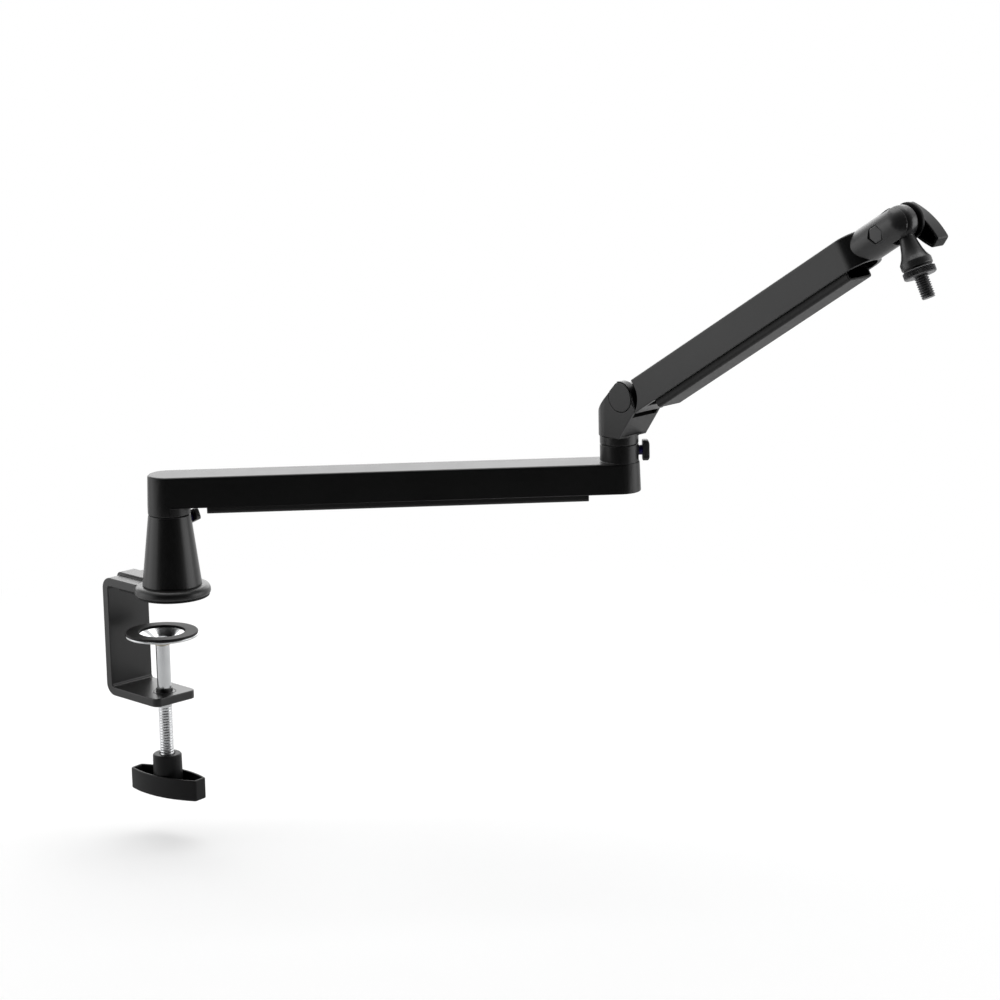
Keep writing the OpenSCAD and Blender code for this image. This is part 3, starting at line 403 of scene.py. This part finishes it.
# clamp
clampBracketLook = {"edge": 0.7, "segments": 3}
finishedCopy("clampBracket", "clamp_bracket", charcoalCoat, **clampBracketLook)
topJawPadLook = {"edge": 0.4, "segments": 2}
finishedCopy("topJawPad", "top_jaw_pad", softRubber, **topJawPadLook)
screwBushLook = {"edge": 0.35, "segments": 2}
finishedCopy("screwBush", "screw_bush", charcoalCoat, **screwBushLook)

clampScrewLook = {"radius": 5, "pitch": 2, "depth": 0.42, "low": -136, "threadTop": -84, "runOut": 6,
                  "shoulder": -38.8, "neck": 3.4, "top": -35.8, "join": 1}


def makeClampScrew(look):
    thread = bmesh.new()
    rows = int((look["threadTop"] - look["low"]) / look["pitch"] * 8)
    wrapped(thread, look["low"], look["threadTop"], rows, 48,
            threadRadius(look["radius"], look["pitch"], look["depth"], look["low"], look["threadTop"],
                         look["runOut"]))
    placePiece("clampScrewThread", thread, atScrew, threadZinc, "clamp_screw")
    shank = bmesh.new()
    foot = look["threadTop"] - look["join"]
    profile = [(0, foot), (look["radius"], foot), (look["radius"], look["shoulder"]),
               (look["neck"], look["shoulder"]), (look["neck"], look["top"]), (0, look["top"])]
    turned(shank, filleted(profile, 0.3, 2), 64)
    placePiece("clampScrew", shank, atScrew, brightZinc, "clamp_screw")


handleLook = {"length": 62.6, "width": 24.5, "endWidth": 11, "height": 15.5, "wall": 2.1, "floor": 3,
              "edge": 0.9, "corner": 1.6, "hub": 20.8, "hubUp": 14.6, "screw": 5}


# bowed sides and blunt ends with rounded corners
def boatLoop(length, width, endWidth, inset, height, corner, steps=14):
    bow = (width - endWidth) / 2
    radius = (length * length / 4 + bow * bow) / (2 * bow)
    half = length / 2 - inset

    def side(x):
        return math.sqrt((radius - inset) ** 2 - x * x) - (radius - width / 2)

    cut = max(corner - inset * 0.6, 0.3)
    long = [half - cut - (2 * half - 2 * cut) * k / steps for k in range(steps + 1)]
    points = []
    for sign in (1, -1):
        start = Vector((half, side(half) - cut)) * sign
        tip = Vector((half, side(half))) * sign
        end = Vector((half - cut, side(half - cut))) * sign
        points += [bentPoint(start, tip, end, k / 5) for k in range(5)]
        points += [Vector((x, side(x))) * sign for x in long]
        start = points[-1]
        tip = Vector((-half, side(half))) * sign
        end = Vector((-half, side(half) - cut)) * sign
        points += [bentPoint(start, tip, end, k / 5) for k in range(1, 6)]
    return [(p.x, p.y, height) for p in points]


# an open box on a boat outline: outer face, rounded rim, pocket wall and pocket floor
def trough(build, look, floorAt, rimAt, outsideAt):
    up = 1 if rimAt > outsideAt else -1
    edge, wall = look["edge"], look["wall"]

    def loop(inset, height):
        return boatLoop(look["length"], look["width"], look["endWidth"], inset, height, look["corner"])

    rim = min(edge, wall * 0.42)
    quarter = [math.pi / 2 * k / 3 for k in range(4)]
    loops = [loop(edge * 1.3, outsideAt)]
    for k in range(1, 5):
        a = math.pi / 2 * k / 4
        loops.append(loop(edge * 1.3 * (1 - math.sin(a)), outsideAt + up * edge * (1 - math.cos(a))))
    for a in quarter:
        loops.append(loop(rim * (1 - math.cos(a)), rimAt - up * rim * (1 - math.sin(a))))
    for a in quarter:
        loops.append(loop(wall - rim * (1 - math.sin(a)), rimAt - up * rim * (1 - math.cos(a))))
    for a in quarter:
        loops.append(loop(wall + rim * 2 * (1 - math.cos(a)), floorAt + up * rim * 2 * (1 - math.sin(a))))
    rows = bridge(build, loops)
    build.faces.new(rows[0])
    build.faces.new(rows[-1])


def makeClampHandle(look):
    build = bmesh.new()
    trough(build, look, look["floor"], look["height"], 0)
    hub, top = look["hub"] / 2, look["height"] + look["hubUp"]
    floor, screw = look["floor"], look["screw"]
    profile = [(0, floor - 0.5), (hub + 1.3, floor - 0.5), (hub + 0.3, floor + 1.5), (hub, top - 0.9),
               (hub - 0.9, top), (screw + 1.2, top), (screw + 0.2, top - 1), (screw - 0.2, top - 15),
               (0, top - 15.5)]
    turned(build, filleted(profile, 0.35, 3))
    placePiece("clampHandle", build, atHandle, handlePlastic, "clamp_handle")


makeClampScrew(clampScrewLook)
makeClampHandle(handleLook)

pressureDiscLook = {"radius": 26.25, "cup": 16.25, "depth": 7.2, "sheet": 1.6, "neck": 3.4,
                    "floor": 6.6, "base": -37.8}


def makePressureDisc(look):
    build = bmesh.new()
    radius, lip, deep, sheet = look["radius"], look["cup"], look["depth"], look["sheet"]
    hole, floor = look["neck"] + 0.6, look["floor"]
    profile = [(hole, 0), (floor, 0), (lip + 0.6, deep - sheet - 0.6), (lip + 1.6, deep - sheet),
               (radius - 0.4, deep - sheet), (radius, deep - sheet + 0.4), (radius, deep - 0.3),
               (radius - 0.3, deep), (lip, deep), (lip - 1.2, deep - 0.7),
               (floor - 0.6, sheet), (hole, sheet)]
    turned(build, filleted(profile, 0.5, 4, closed=True), 128)
    placePiece("pressureDisc", build, atScrew @ shift(0, 0, look["base"]), brightZinc, "pressure_disc")


makePressureDisc(pressureDiscLook)
discPadLook = {"edge": 0.6, "segments": 3}
finishedCopy("discPad", "disc_pad", softRubber, **discPadLook)
print("clamp made")

# riser, arms and their covers
riserConeLook = {"edge": 0.35, "segments": 2}
finishedCopy("riserCone", "riser_cone", coneCoat, **riserConeLook)
lowerArmLook = {"edge": 0.6, "segments": 3}
finishedCopy("lowerArm", "lower_arm", satinBlackCoat, **lowerArmLook)
lowerCoverLook = {"edge": 0.4, "segments": 2}
finishedCopy("lowerCableCover", "lower_cable_cover", coverPlastic, **lowerCoverLook)
upperArmLook = {"edge": 0.6, "segments": 3}
finishedCopy("upperArm", "upper_arm", charcoalCoat, **upperArmLook)
upperCoverLook = {"edge": 0.4, "segments": 2}
finishedCopy("upperCableCover", "upper_cable_cover", coverPlastic, **upperCoverLook)
elbowBracketLook = {"edge": 0.55, "segments": 3}
finishedCopy("elbowBracket", "elbow_bracket", charcoalCoat, **elbowBracketLook)
earCapsLook = {"edge": 0.35, "segments": 2}
finishedCopy("earCaps", "ear_caps", charcoalCoat, **earCapsLook)

lockKnobLook = {"wingLength": 14.8, "wingWidth": 8.4, "wingThick": 5.4, "crown": 1.3, "edge": 0.7,
                "corner": 2.2, "around": 40, "stem": 3.5, "stemShow": 2.6, "stemFrom": 11.2,
                "insert": 4.1, "insertFrom": 11.6, "proud": 0.05}


# a wing on its stem, with the round insert that it sits in
def makeLockKnob(name, at, node, collarNode, look):
    face = look["face"] + look["proud"]
    wingX = face + look["stemShow"]
    outward = at @ turnX(look["turn"]) @ turnY(90)  # local Z runs out along the knob's axis
    halfLong, halfWide = look["wingLength"] / 2, look["wingWidth"] / 2
    crownRadius = (halfLong ** 2 + look["crown"] ** 2) / (2 * look["crown"])

    # height from the base, or below the crowned face when follow is set
    def loop(inset, height, follow):
        points = []
        corner = max(look["corner"] - inset * 0.4, 0.2)
        for k in range(look["around"]):
            a = math.tau * k / look["around"] + 0.001
            x = (halfLong - inset - corner) * (1 if math.cos(a) > 0 else -1) + corner * math.cos(a)
            y = (halfWide - inset - corner) * (1 if math.sin(a) > 0 else -1) + corner * math.sin(a)
            drop = crownRadius - math.sqrt(crownRadius ** 2 - x * x) if follow else 0
            points.append((x, y, look["wingThick"] - drop - height if follow else height))
        return points

    build = bmesh.new()
    edge = look["edge"]
    loops = [loop(0.5, 0, False), loop(0.15, 0.15, False), loop(0, 0.5, False)]
    for k in range(6):
        a = math.pi / 2 * k / 5
        loops.append(loop(edge * (1 - math.cos(a)), edge * (1 - math.sin(a)), True))
    loops += [loop(inset, 0, True) for inset in (1.9, 2.7, 3.3)]
    rows = bridge(build, loops)
    build.faces.new(rows[0])
    build.faces.new(rows[-1])
    placePiece(name, build, outward @ shift(0, 0, wingX), knobPlastic, node)
    stem, radius, foot = bmesh.new(), look["stem"], look["stemFrom"]
    profile = [(0, foot), (radius, foot), (radius, wingX - 0.6), (radius + 0.2, wingX + 0.3),
               (0, wingX + 0.3)]
    turned(stem, filleted(profile, 0.3, 3), 64)
    placePiece(name + "Stem", stem, outward, navyStem, node)
    insert, bore, outside = bmesh.new(), look["stem"] + 0.05, look["insert"]
    foot = look["insertFrom"]
    profile = [(bore, foot), (outside, foot), (outside, face), (bore, face)]
    turned(insert, filleted(profile, 0.25, 2, closed=True), 64)
    placePiece(name + "Insert", insert, outward, blackNylon, collarNode)


baseKnobLook = {**lockKnobLook, "face": 15.744, "turn": 65}
elbowKnobLook = {**lockKnobLook, "face": 13.8, "turn": 0}
makeLockKnob("baseLockKnob", atBaseLock, "base_lock_knob", "base_lock_collar", baseKnobLook)
makeLockKnob("elbowLockKnob", atElbowLock, "elbow_lock_knob", "elbow_lock_collar", elbowKnobLook)
print("arms and elbow made")

# head
barrelLook = {"edge": 0.45, "segments": 3, "dissolve": 0.4}
finishedCopy("headBarrel", "head_barrel", headCoatPaintedLight, **barrelLook)
hexScrewLook = {"edge": 0.75, "segments": 2}
finishedCopy("barrelHexScrew", "barrel_hex_screw", headCoatPaintedLight, **hexScrewLook)
sideDiscLook = {"edge": 0.5, "segments": 2}
finishedCopy("sideDisc", "side_disc", softRubber, **sideDiscLook)
neckLook = {"edge": 0.5, "segments": 3}
finishedCopy("micNeck", "mic_neck", headCoatPaintedLight, **neckLook)

leverLook = {"length": 36.2, "width": 14, "endWidth": 8.2, "wall": 1.8, "floor": 2.4, "thick": 11.8,
             "near": 11.4, "edge": 1, "corner": 1.4, "middle": 5.1, "hub": 6.4, "hubNear": 9.5, "bore": 3.05}


def makeTiltLever(look):
    build = bmesh.new()
    far = look["near"] + look["thick"]
    trough(build, look, far - look["floor"], look["near"], far)
    bmesh.ops.translate(build, vec=(look["middle"], 0, 0), verts=build.verts)
    low, high = look["hubNear"], far - 1.6
    profile = [(look["bore"], low), (look["hub"], low), (look["hub"], high), (look["bore"], high)]
    turned(build, filleted(profile, 0.3, 2, closed=True), 64)
    placePiece("tiltLever", build, atLever @ turnX(-90), leverPlastic, "tilt_lever")


makeTiltLever(leverLook)

lockRingLook = {"radius": 11.1, "height": 5, "down": 32.3, "bore": 4.81,
                "knurl": 48, "slope": 7, "depth": 0.75, "plain": 0.7}


def makeLockRing(look):
    def radiusAt(angle, height):
        edge = min(height, look["height"] - height)
        if edge < look["plain"]:
            return look["radius"] - look["plain"] + edge
        rise = height / look["height"] * math.pi * look["slope"]
        one = abs(math.sin(look["knurl"] * angle / 2 + rise / 2))
        two = abs(math.sin(look["knurl"] * angle / 2 - rise / 2))
        return look["radius"] - look["depth"] * (1 - min(one, two))

    build = bmesh.new()
    wrapped(build, 0, look["height"], 36, look["knurl"] * 6, radiusAt, bore=look["bore"])
    at = atNeck @ shift(0, 0, -look["down"] - look["height"])
    placePiece("lockRing", build, at, blackSteel, "lock_ring")


studLook = {"radius": 4.7625, "pitch": 1.5875, "depth": 0.8, "top": -31.4, "end": -52.3, "runOut": 1.2}


def makeMicStud(look):
    build = bmesh.new()
    rows = int((look["top"] - look["end"]) / look["pitch"] * 10)
    wrapped(build, look["end"], look["top"], rows, 48,
            threadRadius(look["radius"], look["pitch"], look["depth"], look["end"], look["top"] + 2,
                         look["runOut"]))
    placePiece("micStud", build, atNeck, blackSteel, "mic_stud")


makeLockRing(lockRingLook)
makeMicStud(studLook)
print("head made")

# pieces inside, kept as solids with their own finishes
insideFinishes = {
    "screw_end_cap": plainSteel, "thrust_washer": paleAcetal, "riser_bolts": plainSteel,
    "base_bush": paleAcetal, "base_brake_plug": paleAcetal, "base_spigot": plainSteel,
    "base_keeper_washer": plainSteel, "base_keeper_bolt": plainSteel, "elbow_bush": blackNylon,
    "elbow_brake_plug": paleAcetal, "elbow_spigot": plainSteel, "elbow_keeper_washer": plainSteel,
    "elbow_keeper_bolt": plainSteel, "hinge_bolt": plainSteel, "hinge_nut": plainSteel,
    "hinge_bush": paleAcetal, "friction_washers": paleAcetal, "head_spigot": plainSteel,
    "tilt_bolt": plainSteel, "ring_washer": blackNylon,
}
for node, material in insideFinishes.items():
    mesh = frame["nodes"][node].data
    if not mesh.materials:
        mesh.materials.append(material)
    for i in range(len(mesh.materials)):
        mesh.materials[i] = material
print("inside pieces finished")

# floor, lights and surroundings
studioLook = {"floorAt": (0.15, 0.1, -0.1825), "floorSize": 0.75, "floorTone": 0.68, "floorLift": 0.29,
              "fade": (0.3, 0.74)}


def makeFloor(look):
    build = bmesh.new()
    bmesh.ops.create_grid(build, x_segments=8, y_segments=8, size=look["floorSize"])
    mesh = bpy.data.meshes.new("floor")
    build.to_mesh(mesh)
    build.free()
    floor = bpy.data.objects.new("floor", mesh)
    floor.location = look["floorAt"]
    bpy.context.scene.collection.objects.link(floor)
    material = bpy.data.materials.new("paleFloor")
    material.use_nodes = True
    tree = material.node_tree
    shader = tree.nodes["Principled BSDF"]
    shader.inputs["Base Color"].default_value = (look["floorTone"],) * 3 + (1,)
    shader.inputs["Roughness"].default_value = 0.9
    shader.inputs["Specular IOR Level"].default_value = 0.1
    shader.inputs["Emission Color"].default_value = (1, 1, 1, 1)
    ray = tree.nodes.new("ShaderNodeLightPath")
    tree.links.new(mathNode(tree, "MULTIPLY", ray.outputs["Is Camera Ray"], look["floorLift"]),
                   shader.inputs["Emission Strength"])
    place = tree.nodes.new("ShaderNodeTexCoord")
    length = tree.nodes.new("ShaderNodeVectorMath")
    length.operation = "LENGTH"
    tree.links.new(place.outputs["Object"], length.inputs[0])
    far = tree.nodes.new("ShaderNodeMapRange")
    far.interpolation_type = "SMOOTHSTEP"
    far.inputs["From Min"].default_value, far.inputs["From Max"].default_value = look["fade"]
    tree.links.new(length.outputs["Value"], far.inputs["Value"])
    white = tree.nodes.new("ShaderNodeEmission")
    white.inputs["Color"].default_value = (1, 1, 1, 1)
    blend = tree.nodes.new("ShaderNodeMixShader")
    tree.links.new(mathNode(tree, "MULTIPLY", far.outputs[0], ray.outputs["Is Camera Ray"]), blend.inputs[0])
    tree.links.new(shader.outputs[0], blend.inputs[1])
    tree.links.new(white.outputs[0], blend.inputs[2])
    tree.links.new(blend.outputs[0], tree.nodes["Material Output"].inputs["Surface"])
    mesh.materials.append(material)


lampsLook = {  # place, point aimed at, width, height, power
    "above": ((0.25, 0.35, 1.5), (0.25, -0.05, 0.0), 1.8, 1.3, 15),
    "left": ((-1.35, -0.10, 0.05), (0.25, 0.0, 0.05), 1.4, 1.3, 7),
    "right": ((1.95, -0.25, 0.1), (0.25, -0.05, 0.05), 1.4, 1.3, 12),
    "behind": ((0.25, 2.0, 0.75), (0.25, 0.0, 0.1), 3.0, 1.3, 22),
}


def makeLamp(name, place, aim, width, height, power):
    data = bpy.data.lights.new(name, "AREA")
    data.shape = "RECTANGLE"
    data.size, data.size_y, data.energy = width, height, power
    lamp = bpy.data.objects.new(name, data)
    lamp.location = place
    lamp.rotation_mode = "QUATERNION"
    lamp.rotation_quaternion = (Vector(aim) - Vector(place)).to_track_quat("-Z", "Y")
    lamp.visible_camera = False
    bpy.context.scene.collection.objects.link(lamp)


worldLook = {"front": 0.02, "back": 0.8, "turn": (-0.3, 0.7)}


# white to the camera; as light it is dim in front and bright behind and above
def makeWorld(look):
    world = bpy.data.worlds.new("studio")
    world.use_nodes = True
    tree = world.node_tree
    background = tree.nodes["Background"]
    place = tree.nodes.new("ShaderNodeTexCoord")
    split = tree.nodes.new("ShaderNodeSeparateXYZ")
    tree.links.new(place.outputs["Generated"], split.inputs[0])
    along = mathNode(tree, "ADD", split.outputs["Y"], mathNode(tree, "MULTIPLY", split.outputs["Z"], 0.5))
    level = tree.nodes.new("ShaderNodeMapRange")
    level.interpolation_type = "SMOOTHSTEP"
    level.inputs["From Min"].default_value, level.inputs["From Max"].default_value = look["turn"]
    level.inputs["To Min"].default_value, level.inputs["To Max"].default_value = look["front"], look["back"]
    tree.links.new(along, level.inputs["Value"])
    behind = tree.nodes.new("ShaderNodeMapRange")
    behind.inputs["From Min"].default_value, behind.inputs["From Max"].default_value = look["turn"]
    tree.links.new(along, behind.inputs["Value"])
    ray = tree.nodes.new("ShaderNodeLightPath")
    bounced = mathNode(tree, "MAXIMUM", ray.outputs["Is Glossy Ray"], ray.outputs["Is Transmission Ray"])
    shown = mathNode(tree, "MULTIPLY", bounced, behind.outputs[0])
    seen = mathNode(tree, "MAXIMUM", shown, ray.outputs["Is Camera Ray"])
    tree.links.new(mathNode(tree, "MAXIMUM", level.outputs[0], seen), background.inputs["Strength"])
    background.inputs["Color"].default_value = (1, 1, 1, 1)
    bpy.context.scene.world = world


makeFloor(studioLook)
for lampName, values in lampsLook.items():
    makeLamp(lampName, *values)
makeWorld(worldLook)
print("studio made")
